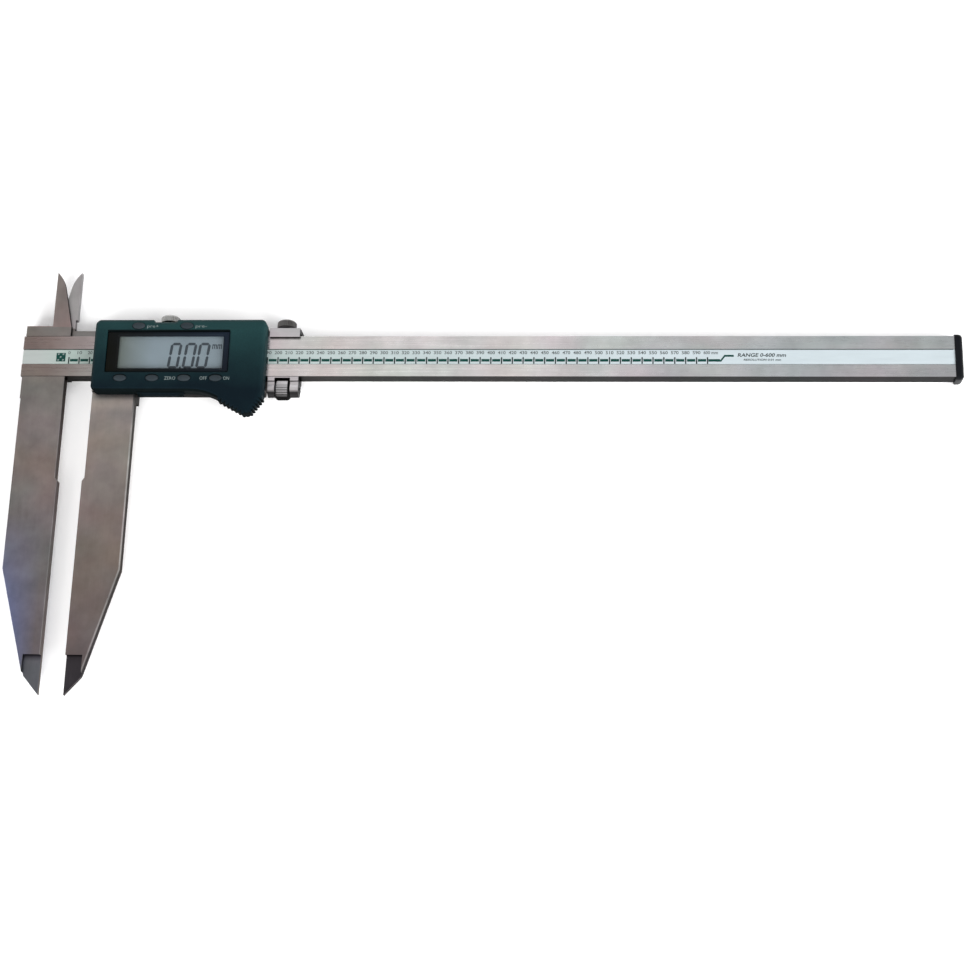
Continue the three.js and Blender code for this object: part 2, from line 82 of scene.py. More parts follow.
class Finish:
    """A procedural material: a Principled shader and short ways to feed it. Patterns sit on the piece."""

    def __init__(self, name):
        self.material = bpy.data.materials.new(name)
        self.material.use_nodes = True
        self.tree = self.material.node_tree
        self.tree.nodes.clear()
        self.shader = self.tree.nodes.new("ShaderNodeBsdfPrincipled")
        output = self.tree.nodes.new("ShaderNodeOutputMaterial")
        self.tree.links.new(self.shader.outputs[0], output.inputs[0])
        self.place = self.tree.nodes.new("ShaderNodeTexCoord")

    def set(self, **values):
        for name, value in values.items():
            self.shader.inputs[name.replace("_", " ")].default_value = value
        return self

    def feed(self, name, socket):
        self.tree.links.new(socket, self.shader.inputs[name])
        return self

    def noise(self, scale, detail=3.0, roughness=0.55, offset=0.0):
        """Noise of 0 to 1; scale is one number, or one per axis for grain that runs along an axis."""
        mapping = self.tree.nodes.new("ShaderNodeMapping")
        mapping.inputs["Scale"].default_value = scale if hasattr(scale, "__len__") else (scale,) * 3
        mapping.inputs["Location"].default_value = (offset, offset, offset)
        self.tree.links.new(self.place.outputs["Object"], mapping.inputs["Vector"])
        noise = self.tree.nodes.new("ShaderNodeTexNoise")
        noise.inputs["Scale"].default_value = 1.0
        noise.inputs["Detail"].default_value = detail
        noise.inputs["Roughness"].default_value = roughness
        self.tree.links.new(mapping.outputs[0], noise.inputs["Vector"])
        return noise.outputs[0]

    def along(self, axis, start, end):
        """0 to 1 along an axis of the piece, between two places in the drawing's millimetres."""
        split = self.tree.nodes.new("ShaderNodeSeparateXYZ")
        self.tree.links.new(self.place.outputs["Object"], split.inputs[0])
        return self.fit(split.outputs[axis], start * MM + ORIGIN["XYZ".index(axis)],
                        end * MM + ORIGIN["XYZ".index(axis)])

    def fit(self, socket, low, high, to_low=0.0, to_high=1.0):
        fitted = self.tree.nodes.new("ShaderNodeMapRange")
        for i, value in enumerate((low, high, to_low, to_high)):
            fitted.inputs[i + 1].default_value = value
        self.tree.links.new(socket, fitted.inputs[0])
        return fitted.outputs[0]

    def sum(self, a, b, how="ADD"):
        node = self.tree.nodes.new("ShaderNodeMath")
        node.operation = how
        for socket, value in zip(node.inputs, (a, b)):
            if isinstance(value, (int, float)):
                socket.default_value = value
            else:
                self.tree.links.new(value, socket)
        return node.outputs[0]

    def mix(self, factor, a, b, how="MIX"):
        node = self.tree.nodes.new("ShaderNodeMix")
        node.data_type = "RGBA"
        node.blend_type = how
        for socket, value in zip((node.inputs[0], node.inputs[6], node.inputs[7]), (factor, a, b)):
            if isinstance(value, (int, float)):
                socket.default_value = value
            elif isinstance(value, tuple):
                socket.default_value = (*value, 1.0)
            else:
                self.tree.links.new(value, socket)
        return node.outputs[2]

    def bump(self, height, depth, strength=1.0):
        """Relief of the given depth in millimetres."""
        node = self.tree.nodes.new("ShaderNodeBump")
        node.inputs["Strength"].default_value = strength
        node.inputs["Distance"].default_value = depth * MM
        self.tree.links.new(height, node.inputs["Height"])
        return self.feed("Normal", node.outputs[0])

    def speckled(self, base, scale, low, high, detail=2.0, offset=0.0):
        """The base colour under a fine pattern that darkens and lightens it between low and high."""
        speck = self.fit(self.noise(scale, detail, 0.6, offset), 0.25, 0.75, low, high)
        return self.feed("Base Color", self.mix(1.0, base, speck, "MULTIPLY"))

    def gloss(self, scale, low, high, detail=2.0, roughness=0.5):
        """Roughness that wanders between low and high."""
        return self.feed("Roughness", self.fit(self.noise(scale, detail, roughness), 0.3, 0.7, low, high))

    def lower_side(self, start, end):
        """The mask of painted shade: 0 on a face that looks up, 1 on one that looks towards the piece's -Y or
        +X side.

        start and end say how far a face has turned that way where the change begins and where it is whole.
        """
        split = self.tree.nodes.new("ShaderNodeSeparateXYZ")
        self.tree.links.new(self.place.outputs["Normal"], split.inputs[0])
        down = self.sum(split.outputs["Y"], -1.0, "MULTIPLY")
        side = self.sum(split.outputs["X"], 0.8, "MULTIPLY")
        return self.fit(self.sum(down, side, "MAXIMUM"), start, end)


def ground_steel(name, light, dark, roughness, grain="X", streaks=0.16, shade=0.9, patina=0.5, blotch=0.10,
                 tint=None, fades=(), turn=(0.25, 0.85)):
    """Steel ground along one axis: long fine streaks, slow warm and cool patches, and painted shade on the
    lower and right-hand sides.

    tint is (colour, x range, y range): a painted reflection of that colour that grows along both ranges.
    fades holds (axis, start, end, colour): from start to end the tone comes to be multiplied by colour.
    turn says how far a face has turned from the top where the painted shade begins, and where it is darkest.
    """
    finish = Finish(name)
    long_way = "XYZ".index(grain)
    coarse = tuple(14 if i == long_way else 520 for i in range(3))
    fine = tuple(60 if i == long_way else 2600 for i in range(3))
    patches = finish.fit(finish.noise(9.0, 3.0, 0.6), 0.3, 0.7)
    colour = finish.mix(patches, dark, light)
    warmth = finish.fit(finish.noise(17.0, 2.0, 0.5, offset=3.1), 0.42, 0.7, 0.0, patina)
    colour = finish.mix(warmth, colour, (light[0] * 1.02, light[1] * 0.86, light[2] * 0.78))
    if tint:
        hue, across, down = tint
        grows = finish.sum(finish.along("X", *across), finish.along("Y", *down), "MULTIPLY")
        colour = finish.mix(grows, colour, hue)
    for axis, start, end, factor in fades:
        faded = finish.mix(1.0, colour, factor, "MULTIPLY")
        colour = finish.mix(finish.along(axis, start, end), colour, faded)
    drift = finish.fit(finish.noise(13.0, 2.0, 0.5, offset=9.1), 0.35, 0.65)
    colour = finish.mix(1.0, colour, finish.mix(drift, (0.95, 1.02, 0.99), (1.05, 0.975, 1.02)), "MULTIPLY")
    streak = finish.fit(finish.noise(coarse, 4.0, 0.65), 0.25, 0.75, 1.0 - streaks, 1.0 + streaks * 0.6)
    cloud = finish.fit(finish.noise(42.0, 4.0, 0.6, offset=7.7), 0.3, 0.7, 1.0 - blotch, 1.0 + blotch)
    streak = finish.sum(streak, cloud, "MULTIPLY")
    hair = finish.fit(finish.noise(fine, 2.0, 0.6, offset=1.7), 0.2, 0.8, 0.96, 1.03)
    tone = finish.sum(streak, hair, "MULTIPLY")
    # Painted shade: faces turned down or to the right are darkened by up to shade.
    shaded = finish.fit(finish.lower_side(*turn), 0.0, 1.0, 1.0, 1.0 - shade)
    tone = finish.sum(tone, shaded, "MULTIPLY")
    colour = finish.mix(1.0, colour, tone, "MULTIPLY")
    finish.feed("Base Color", colour)
    scratches = finish.noise(coarse, 3.0, 0.6, offset=5.0)
    finish.feed("Roughness", finish.fit(scratches, 0.2, 0.8, roughness - 0.06, roughness + 0.08))
    finish.bump(finish.noise(fine, 2.0, 0.5, offset=2.3), 0.012, 0.25)
    return finish.set(Metallic=1.0, Specular_Tint=(0.5, 0.5, 0.5, 1.0)).material


def moulded(name, colour, second, roughness, grain, specular):
    """Moulded plastic or rubber: a fine spark-eroded grain and a slow change of tone."""
    finish = Finish(name)
    scale = 1500.0
    tone = finish.fit(finish.noise(24.0, 3.0, 0.6), 0.3, 0.7)
    finish.speckled(finish.mix(tone, colour, second), scale * 0.6, 0.86, 1.12, offset=0.7)
    finish.gloss(60.0, roughness - 0.06, roughness + 0.07)
    finish.bump(finish.noise(scale, 2.0, 0.55), grain, 0.6)
    return finish.set(Specular_IOR_Level=specular).material


def housing_finish():
    """The display housing's green plastic with painted light and shade: darker and bluer below, lighter to
    the upper right and along the top.
    """
    finish = Finish("housing_plastic")
    green, blue = (0.0095, 0.0345, 0.0360), (0.0012, 0.0056, 0.0092)
    to_right = finish.fit(finish.along("X", 30, 190), 0.0, 1.0, 0.75, 1.25)
    slope = finish.sum(finish.along("Y", -58, 14), to_right, "MULTIPLY")
    slope = finish.sum(slope, finish.sum(finish.along("Y", -2, 4), 0.15, "MULTIPLY"))
    cloud = finish.fit(finish.noise(22.0, 3.0, 0.6), 0.3, 0.7, -0.12, 0.12)
    finish.speckled(finish.mix(finish.sum(slope, cloud), blue, green), 900.0, 0.85, 1.15)
    finish.gloss(70.0, 0.46, 0.60)
    finish.bump(finish.noise(1500.0, 2.0, 0.55), 0.05, 0.6)
    return finish.set(Specular_IOR_Level=0.11).material


def bezel_finish():
    """The display's frame with painted light and shade: near black at its left, dark blue towards the upper
    right.
    """
    finish = Finish("bezel_plastic")
    place = finish.sum(finish.along("X", 38, 158), finish.along("Y", -75, 0), "MULTIPLY")
    cloud = finish.fit(finish.noise(30.0, 3.0, 0.6), 0.3, 0.7, -0.08, 0.08)
    base = finish.mix(finish.sum(place, cloud), (0.0026, 0.0028, 0.0018), (0.0072, 0.0125, 0.0220))
    finish.speckled(base, 1300.0, 0.85, 1.12)
    finish.gloss(60.0, 0.34, 0.44)
    finish.bump(finish.noise(2200.0, 2.0, 0.55), 0.02, 0.5)
    return finish.set(Specular_IOR_Level=0.10).material


def printed(name, colour, second, roughness=0.5, specular=0.2):
    """Printed film or ink: slightly uneven cover, with a faint ink grain."""
    finish = Finish(name)
    cover = finish.fit(finish.noise(420.0, 3.0, 0.6), 0.3, 0.72)
    finish.feed("Base Color", finish.mix(cover, colour, second))
    finish.bump(finish.noise(1800.0, 2.0, 0.5), 0.01, 0.3)
    return finish.set(Roughness=roughness, Specular_IOR_Level=specular).material


def label_finish():
    """The scale's film: pale green by the jaws, cooler white further along."""
    finish = Finish("label_film")
    base = finish.mix(finish.along("X", -45, 560), (0.29, 0.355, 0.325), (0.40, 0.455, 0.48))
    base = finish.mix(finish.along("X", 0, -30), base, (0.325, 0.352, 0.340))
    finish.speckled(base, (30, 240, 240), 0.93, 1.04, detail=3.0)
    finish.gloss(90.0, 0.30, 0.42)
    finish.bump(finish.noise(1300.0, 2.0, 0.5), 0.01, 0.3)
    return finish.set(Specular_IOR_Level=0.5).material


def lcd_finish():
    """The display's polariser: blue-grey with painted shade that makes it warmer and darker at its left end,
    and a faint weave.
    """
    finish = Finish("display_panel")
    right = finish.fit(finish.along("X", 47, 82), 0.0, 1.0)
    base = finish.mix(right, (0.079, 0.093, 0.080), (0.140, 0.178, 0.202))
    cloud = finish.fit(finish.noise(38.0, 2.0, 0.5), 0.3, 0.7, 0.93, 1.06)
    finish.feed("Base Color", finish.mix(1.0, base, cloud, "MULTIPLY"))
    finish.gloss(500.0, 0.38, 0.48)
    finish.bump(finish.noise(2600.0, 2.0, 0.5), 0.01, 0.3)
    return finish.set(Specular_IOR_Level=0.35).material


def glass_finish():
    """The display's cover: a thin clear sheet with faint smears."""
    finish = Finish("clear_window")
    finish.gloss(60.0, 0.06, 0.16, detail=3.0, roughness=0.6)
    smears = finish.noise(45.0, 2.0, 0.5)
    finish.feed("Base Color", finish.mix(smears, (0.35, 0.40, 0.42), (0.45, 0.50, 0.52)))
    finish.bump(finish.noise(30.0, 2.0, 0.5), 0.01, 0.2)
    finish.set(Alpha=0.02, IOR=1.2)
    finish.material.blend_method = "BLEND"
    return finish.material


# The beam's first fade is painted shade: darker and warmer by the head, standing in for the dimmer reflection
# there. The second makes it a little darker and cooler towards the far end.
BEAM = ground_steel("beam_steel", (0.84, 0.825, 0.81), (0.69, 0.69, 0.68), 0.28,
                    streaks=0.035, shade=0.945, patina=0.20, blotch=0.11,
                    fades=[("X", 60, -20, (0.53, 0.47, 0.435)), ("X", 420, 640, (0.90, 0.92, 0.96))])
# Painted reflection: a light band across the jaw just below the housing, which leaves the strip under the
# housing as painted shadow. Further down the jaw grows darker and cooler towards the tip.
JAW = ground_steel("jaw_steel", (0.540, 0.496, 0.463), (0.425, 0.402, 0.391), 0.36, "Y",
                   streaks=0.03, shade=0.95, patina=0.60, blotch=0.13,
                   fades=[("Y", -61, -65, (1.22, 1.19, 1.15)), ("Y", -70, -77, (0.80, 0.82, 0.85)),
                          ("Y", -77, -170, (0.74, 0.71, 0.69)), ("Y", -170, -320, (0.70, 0.72, 0.77))])
# The fixed jaw's tint is a painted bluish reflection on its lower left; its fade makes it darker and cooler
# towards the tip.
FIXED_JAW = ground_steel("fixed_jaw_steel", (0.405, 0.376, 0.353), (0.302, 0.296, 0.285), 0.36, "Y",
                         streaks=0.03, shade=0.90, patina=0.60, blotch=0.16,
                         tint=((0.32, 0.43, 0.80), (-6, -46), (-175, -280)),
                         fades=[("Y", -110, -310, (0.70, 0.71, 0.82))])
# Painted shade: a darker copy of the jaw steel for the jaws' right-looking measuring faces, darkest towards
# the top under the housing.
MEASURING_FACE = ground_steel("measuring_face_steel", (0.20, 0.18, 0.17), (0.155, 0.14, 0.135), 0.36, "Y",
                              streaks=0.03, shade=0.0, patina=0.30, blotch=0.12,
                              fades=[("Y", -200, -60, (0.22, 0.19, 0.17))])
# Painted shade: darker copies of the jaw steel for the right-hand chamfers, so they mirror less of the bright
# room; the slider's is lighter from y = -236 upwards.
CHAMFER = ground_steel("chamfer_steel", (0.31, 0.295, 0.285), (0.24, 0.23, 0.22), 0.30, "Y",
                       streaks=0.05, shade=0.0, patina=0.20, blotch=0.25,
                       fades=[("Y", -236, -222, (1.35, 1.35, 1.35))])
FIXED_CHAMFER = ground_steel("fixed_chamfer_steel", (0.30, 0.29, 0.285), (0.235, 0.225, 0.225), 0.30, "Y",
                             streaks=0.05, shade=0.0, patina=0.20, blotch=0.25)
HEAD = ground_steel("head_steel", (0.364, 0.375, 0.352), (0.291, 0.309, 0.292), 0.36,
                    streaks=0.05, shade=0.95, patina=0.80, blotch=0.12)
FIXED_BLADE = ground_steel("fixed_blade_steel", (0.475, 0.40, 0.379), (0.373, 0.328, 0.311), 0.36, "Y",
                           streaks=0.05, shade=0.95, patina=0.60, blotch=0.14)
BLADE = ground_steel("blade_steel", (0.70, 0.71, 0.70), (0.575, 0.585, 0.575), 0.34, "Y",
                     streaks=0.04, shade=0.45, patina=0.10, blotch=0.10)
SCREW = ground_steel("screw_steel", (0.60, 0.59, 0.58), (0.46, 0.45, 0.445), 0.28,
                     streaks=0.12, shade=0.93, patina=0.15)
# The wheel and the carriage start their painted shade early as a face turns down, so their lower halves are
# dark.
WHEEL = ground_steel("wheel_steel", (0.84, 0.845, 0.86), (0.68, 0.685, 0.70), 0.34,
                     streaks=0.10, shade=0.985, patina=0.10, turn=(0.09, 0.49))
CARRIAGE = ground_steel("carriage_steel", (0.72, 0.71, 0.725), (0.61, 0.60, 0.615), 0.30,
                        streaks=0.04, shade=0.95, patina=0.10, turn=(0.18, 0.55))
DARK = ground_steel("dark_steel", (0.24, 0.23, 0.225), (0.15, 0.145, 0.14), 0.32, "Y",
                    streaks=0.22, shade=0.85, patina=0.10)
TIP = ground_steel("tip_steel", (0.095, 0.091, 0.100), (0.068, 0.065, 0.072), 0.40, "Y",
                   streaks=0.08, shade=0.60, patina=0.20)
# Its fade is a painted shadow: darker just below the step at y = -306, back to the tip's tone further down.
FIXED_TIP = ground_steel("fixed_tip_steel", (0.257, 0.262, 0.301), (0.193, 0.197, 0.222), 0.36, "Y",
                         streaks=0.05, shade=0.10, patina=0.10,
                         fades=[("Y", -312, -307, (0.40, 0.38, 0.42))])
BRASS = ground_steel("brass", (0.56, 0.40, 0.17), (0.44, 0.31, 0.13), 0.34,
                     streaks=0.14, shade=0.40, patina=0.10)
HOUSING = housing_finish()
# Painted shade: a near black, almost unreflecting copy of the housing plastic for the faces that look towards
# -y along its lower edge.
UNDERSIDE = moulded("housing_underside", (0.0022, 0.0036, 0.0040), (0.0034, 0.0060, 0.0066), 0.60, 0.04, 0.01)
BLACK = moulded("black_plastic", (0.0050, 0.0056, 0.0072), (0.0030, 0.0036, 0.0050), 0.42, 0.04, 0.12)
BEZEL = bezel_finish()
KEY = moulded("button_rubber", (0.0190, 0.0265, 0.0315), (0.0270, 0.0345, 0.0405), 0.60, 0.03, 0.12)
MEMBRANE = moulded("membrane_rubber", (0.020, 0.022, 0.024), (0.030, 0.032, 0.035), 0.75, 0.05, 0.25)
BOARD = moulded("board_laminate", (0.012, 0.090, 0.045), (0.016, 0.115, 0.060), 0.55, 0.03, 0.40)
LABEL = label_finish()
LCD = lcd_finish()
GLASS = glass_finish()
GREEN_INK = printed("green_ink", (0.002, 0.030, 0.024), (0.004, 0.045, 0.036))
GREY_INK = printed("grey_ink", (0.060, 0.070, 0.070), (0.105, 0.115, 0.115))
DARK_INK = printed("dark_ink", (0.008, 0.013, 0.013), (0.016, 0.024, 0.023))
PALE_INK = printed("pale_ink", (0.150, 0.185, 0.185), (0.200, 0.235, 0.230))
LCD_INK = printed("lcd_ink", (0.014, 0.020, 0.026), (0.022, 0.030, 0.038))


# ---- mesh building

def loft(rings, closed=False):
    """A closed skin over rings of points. The ends are capped, or joined when closed is true."""
    mesh = bmesh.new()
    made = [[mesh.verts.new(point) for point in ring] for ring in rings]
    count = len(made[0])
    pairs = list(zip(made, made[1:])) + ([(made[-1], made[0])] if closed else [])
    for low, high in pairs:
        for i in range(count):
            j = (i + 1) % count
            mesh.faces.new((low[i], low[j], high[j], high[i]))
    if not closed:
        mesh.faces.new(list(reversed(made[0])))
        mesh.faces.new(made[-1])
    bmesh.ops.recalc_face_normals(mesh, faces=mesh.faces[:])
    return mesh


def prism(outline, low, high, axis="Z"):
    """A prism over a flat outline; axis Z takes (x, y) points and axis X takes (y, z) points."""
    if axis == "Z":
        return loft([[(x, y, z) for x, y in outline] for z in (low, high)])
    return loft([[(x, y, z) for y, z in outline] for x in (low, high)])


def block(x0, x1, y0, y1, z0, z1):
    return prism([(x0, y0), (x1, y0), (x1, y1), (x0, y1)], z0, z1)


def lathe(profile, axis, base, segments=96, teeth=0, depth=0.0, closed=False):
    """A turned piece: profile rows are radius, height and how much of the knurl they carry.

    The knurl has the given number of teeth, cut to depth.
    """
    up = AXES[axis]
    side = AXES["Y" if axis == "X" else "X"]
    other = up.cross(side)
    rings = []
    for radius, height, knurl in profile:
        ring = []
        for i in range(segments):
            angle = 2 * math.pi * i / segments
            r = radius - depth * knurl * (0.5 - 0.5 * math.cos(teeth * angle))
            around = side * (r * math.cos(angle)) + other * (r * math.sin(angle))
            ring.append(Vector(base) + up * height + around)
        rings.append(ring)
    return loft(rings, closed)


def join(*meshes):
    """Several meshes as one, each keeping its own faces."""
    whole = bmesh.new()
    for part in meshes:
        data = bpy.data.meshes.new("part")
        part.to_mesh(data)
        part.free()
        whole.from_mesh(data)
        bpy.data.meshes.remove(data)
    return whole


def from_cad(node):
    """A CAD node's shape in the drawing's millimetres, with its flat faces whole again."""
    mesh = bmesh.new()
    mesh.from_mesh(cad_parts[node].data)
    for vertex in mesh.verts:
        vertex.co = (vertex.co - ORIGIN) / MM
    bmesh.ops.remove_doubles(mesh, verts=mesh.verts[:], dist=0.002)
    bmesh.ops.dissolve_limit(mesh, angle_limit=math.radians(1.0), verts=mesh.verts[:], edges=mesh.edges[:])
    return mesh


def as_object(mesh, name):
    """A bmesh as an object in the scene. The bmesh is used up."""
    data = bpy.data.meshes.new(name)
    mesh.to_mesh(data)
    mesh.free()
    made = bpy.data.objects.new(name, data)
    bpy.context.scene.collection.objects.link(made)
    return made


def discard(made):
    data = made.data
    bpy.data.objects.remove(made)
    bpy.data.meshes.remove(data)


def carve(mesh, *cutters):
    """The mesh with each cutter taken out of it."""
    target = as_object(mesh, "target")
    tools = [as_object(cutter, "cutter") for cutter in cutters]
    for tool in tools:
        modifier = target.modifiers.new("cut", "BOOLEAN")
        modifier.operation = "DIFFERENCE"
        modifier.solver = "EXACT"
        modifier.object = tool
    result = bmesh.new()
    bpy.context.view_layer.update()
    result.from_object(target, bpy.context.evaluated_depsgraph_get())
    for made in (target, *tools):
        discard(made)
    return result


def soften(made, width, segments=2, angle=32.0):
    """Small real roundings on the sharp edges, with shading that keeps the flats flat."""
    if width:
        bevel = made.modifiers.new("edges", "BEVEL")
        bevel.width = width * MM
        bevel.segments = segments
        bevel.limit_method = "ANGLE"
        bevel.angle_limit = math.radians(angle)
    made.modifiers.new("shading", "WEIGHTED_NORMAL").keep_sharp = True


def piece(name, mesh, body, materials, nodes=(), edge=0.0, segments=2, angle=32.0):
    """Puts a mesh drawn in millimetres into the scene as one visible piece of a CAD body.

    nodes are the CAD nodes that it stands for, edge is the rounding of its edges and angle, in degrees,
    is where an edge begins to count as sharp.
    """
    for vertex in mesh.verts:
        vertex.co = metres(vertex.co)
    made = as_object(mesh, name)
    for material in materials if isinstance(materials, (list, tuple)) else [materials]:
        made.data.materials.append(material)
    made.data.polygons.foreach_set("use_smooth", [True] * len(made.data.polygons))
    made.data.set_sharp_from_angle(angle=math.radians(angle))
    soften(made, edge, segments, angle)
    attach(made, body)
    if nodes:
        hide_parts(*nodes)
    return made


def paint(mesh, rule):
    """Gives each face the material that rule(normal, centre) says."""
    mesh.normal_update()
    for face in mesh.faces:
        face.material_index = rule(face.normal, face.calc_center_median())
    return mesh


# ---- beam and scale

low, high = box_mm("main_beam")
BEAM_X, BEAM_WIDTH, BEAM_DEPTH = (low.x, high.x), -low.y, -low.z
low, high = box_mm("scale_label")
LABEL_Y, LABEL_FACE = (low.y, high.y), high.z

GROOVE = (LABEL_Y[0] - 0.3, LABEL_Y[1] + 0.3)    # the recess that the label lies in
GROOVE_FLOOR = -1.6
section = [(-BEAM_WIDTH, -BEAM_DEPTH), (0, -BEAM_DEPTH), (0, 0), (GROOVE[1], 0), (GROOVE[1], GROOVE_FLOOR),
           (GROOVE[0], GROOVE_FLOOR), (GROOVE[0], 0), (-BEAM_WIDTH, 0)]
piece("beam_bar", prism(section, *BEAM_X, axis="X"), "beam", BEAM, ["main_beam"], edge=0.2)

LAYER = 0.03                     # thickness of printed ink
INK_Z = LABEL_FACE + 0.005


def bar(x0, x1, y0, y1, z=INK_Z, lean=0.0):
    """A printed rectangle; lean slides its upper edge sideways."""
    return prism([(x0, y0), (x1, y0), (x1 + lean, y1), (x0 + lean, y1)], z, z + LAYER)


CAPITAL = 0.729                  # height of the built-in font's capitals at size 1


def glyphs(text, weight):
    """Flat letters from the built-in font: (points, faces, width) with capitals one unit high."""
    curve = bpy.data.curves.new("letters", "FONT")
    curve.body = text
    curve.resolution_u = 3
    curve.offset = weight
    holder = bpy.data.objects.new("letters", curve)
    bpy.context.scene.collection.objects.link(holder)
    bpy.context.view_layer.update()
    data = bpy.data.meshes.new_from_object(holder)
    points = [(v.co.x / CAPITAL, v.co.y / CAPITAL) for v in data.vertices]
    faces = [tuple(p.vertices) for p in data.polygons]
    bpy.data.meshes.remove(data)
    bpy.data.objects.remove(holder)
    bpy.data.curves.remove(curve)
    left, right = min(x for x, _ in points), max(x for x, _ in points)
    return [(x - left, y) for x, y in points], faces, right - left


def lettering(text, left, right, bottom, height, z=INK_Z, lean=0.0, weight=0.022):
    """The text as thin solid letters that fill left to right, standing on bottom.

    lean slants them, and weight thickens their strokes.
    """
    points, faces, width = glyphs(text, weight)
    stretch = (right - left) / width
    mesh = bmesh.new()
    verts = [mesh.verts.new((left + x * stretch + lean * y * height, bottom + y * height, z))
             for x, y in points]
    for face in faces:
        try:
            mesh.faces.new([verts[i] for i in face])
        except ValueError:       # the font's triangulation can name a face twice
            continue
    bmesh.ops.remove_doubles(mesh, verts=mesh.verts[:], dist=0.0005)
    bmesh.ops.recalc_face_normals(mesh, faces=mesh.faces[:])
    raised = bmesh.ops.extrude_face_region(mesh, geom=mesh.faces[:])
    for item in raised["geom"]:
        if isinstance(item, bmesh.types.BMVert):
            item.co.z += LAYER
    bmesh.ops.recalc_face_normals(mesh, faces=mesh.faces[:])
    return mesh


TICK_STEP, LAST_TICK = 10, 600
NUMBER_BOTTOM, NUMBER_HEIGHT = -18.0, 3.1
HALF_WIDTHS = {1: 1.1, 2: 2.3, 3: 3.6}    # of a number, by its count of digits
UNIT_WIDTH = 6.0                          # what " mm" adds after the last number
BAND = (-25.4, -22.9)                     # the green band under the numbers

numbers = []
for value in range(0, LAST_TICK + 1, TICK_STEP):
    last = value == LAST_TICK
    half = HALF_WIDTHS[len(str(value))]
    numbers.append(lettering(f"{value} mm" if last else str(value), value - half,
                             value + half + (UNIT_WIDTH if last else 0.0), NUMBER_BOTTOM, NUMBER_HEIGHT))
piece("scale_numerals", join(*numbers), "beam", GREY_INK)

marks, ticks = [], []
for value in range(0, LAST_TICK + 1, TICK_STEP):
    ticks.append(bar(value - 0.6, value + 0.6, LABEL_Y[0] + 0.1, BAND[1] + 1.9))
    if value < LAST_TICK:
        marks.append(bar(value + 1.2, value + 8.8, *BAND))
        for step in range(1, TICK_STEP):
            marks.append(bar(value + step - 0.1, value + step + 0.1, BAND[1], BAND[1] + 0.45))
# After the last number the band runs on, climbs and ends in a short bar beside the caption.
CLIMB_X, CLIMB_WIDTH, CLIMB_RUN = 610.5, 2.0, 5.0
TAIL_END, TAIL_TOP, TAIL_WIDTH = 624.0, -18.7, 1.9
marks.append(bar(LAST_TICK + 0.75, CLIMB_X + 1.0, *BAND))
climb = [(CLIMB_X, BAND[0]), (CLIMB_X + CLIMB_WIDTH, BAND[0]),
         (CLIMB_X + CLIMB_RUN + CLIMB_WIDTH, TAIL_TOP), (CLIMB_X + CLIMB_RUN, TAIL_TOP)]
marks.append(prism(climb, INK_Z, INK_Z + LAYER * 0.9))
marks.append(bar(CLIMB_X + CLIMB_RUN, TAIL_END, TAIL_TOP - TAIL_WIDTH, TAIL_TOP))
piece("scale_marks", join(*marks), "beam", GREEN_INK)
piece("scale_ticks", join(*ticks), "beam", DARK_INK)

caption = [lettering("RANGE 0-600 mm", 627.5, 671.5, -20.5, 3.5, lean=0.22),
           lettering("RESOLUTION 0.01 mm", 633, 667, -24.4, 1.9, lean=0.22)]
piece("scale_caption", join(*caption), "beam", DARK_INK)
piece("scale_edge_line", join(bar(BEAM_X[0] + 1, BEAM_X[1] - 3, LABEL_Y[1] - 0.5, LABEL_Y[1] - 0.15)),
      "beam", DARK_INK)

EMBLEM = (-12.2, -3.4, -25.4, -16.8)
piece("scale_emblem", join(bar(*EMBLEM)), "beam", GREEN_INK)
bright = [bar(x, x + 1.5, y, y + 1.5, INK_Z + LAYER, 0.5) for x, y in
          ((-11.2, -18.8), (-6.6, -18.8), (-9.1, -21.6), (-11.2, -24.6), (-6.6, -24.6))]
piece("scale_emblem_marks", join(*bright), "beam", PALE_INK)


# ---- jaws, frame and other steel from the CAD

JAW_TOP = -BEAM_WIDTH - 0.3
BLADE_ROOT = 9.6                 # where the inside blades begin
TIP_STEP = -306.0                # where the long jaws step down to their thin tips
# Zones of a jaw, in the order of its materials.
LONG_JAW, JAW_HEAD, THIN_TIP, INSIDE_BLADE, JAW_CHAMFER, FACE = range(6)


def steel_zone(normal, centre):
    """Which zone a jaw's face belongs to, the chamfer left out."""
    if normal.x > 0.7 and centre.y < JAW_TOP and abs(centre.x) < 3:
        return FACE
    if centre.y < TIP_STEP and centre.z < -1 and (normal.z > 0.5 or normal.x > 0.5 and centre.z > -5):
        return THIN_TIP
    if centre.y > BLADE_ROOT:
        return INSIDE_BLADE
    return LONG_JAW if centre.y < JAW_TOP else JAW_HEAD


def is_right_edge(edge):
    """Whether an edge of the jaw's top face, below the beam, borders a side that looks right."""
    ends = [vertex.co for vertex in edge.verts]
    return (all(abs(end.z) < 0.01 and end.y < -39 for end in ends) and abs(ends[0].y - ends[1].y) > 2
            and any(face.normal.x > 0.7 for face in edge.link_faces))


def jaw_piece(node, name, body, finishes, chamfer):
    """A jaw from the CAD with a chamfer along the right-hand edge of its long leg's top face.

    finishes follow the zones, apart from the measuring face, which is the same on both jaws.
    """
    mesh = from_cad(node)
    bmesh.ops.bevel(mesh, geom=[edge for edge in mesh.edges if is_right_edge(edge)], offset=chamfer,
                    segments=1, affect="EDGES", material=JAW_CHAMFER)
    for y in (JAW_TOP, BLADE_ROOT):
        bmesh.ops.bisect_plane(mesh, geom=mesh.verts[:] + mesh.edges[:] + mesh.faces[:],
                               plane_co=(0, y, 0), plane_no=(0, 1, 0))
    chamfers = [face for face in mesh.faces if face.material_index == JAW_CHAMFER]
    paint(mesh, steel_zone)
    for face in chamfers:
        face.material_index = JAW_CHAMFER
    piece(name, mesh, body, [*finishes, MEASURING_FACE], [node], edge=0.3)


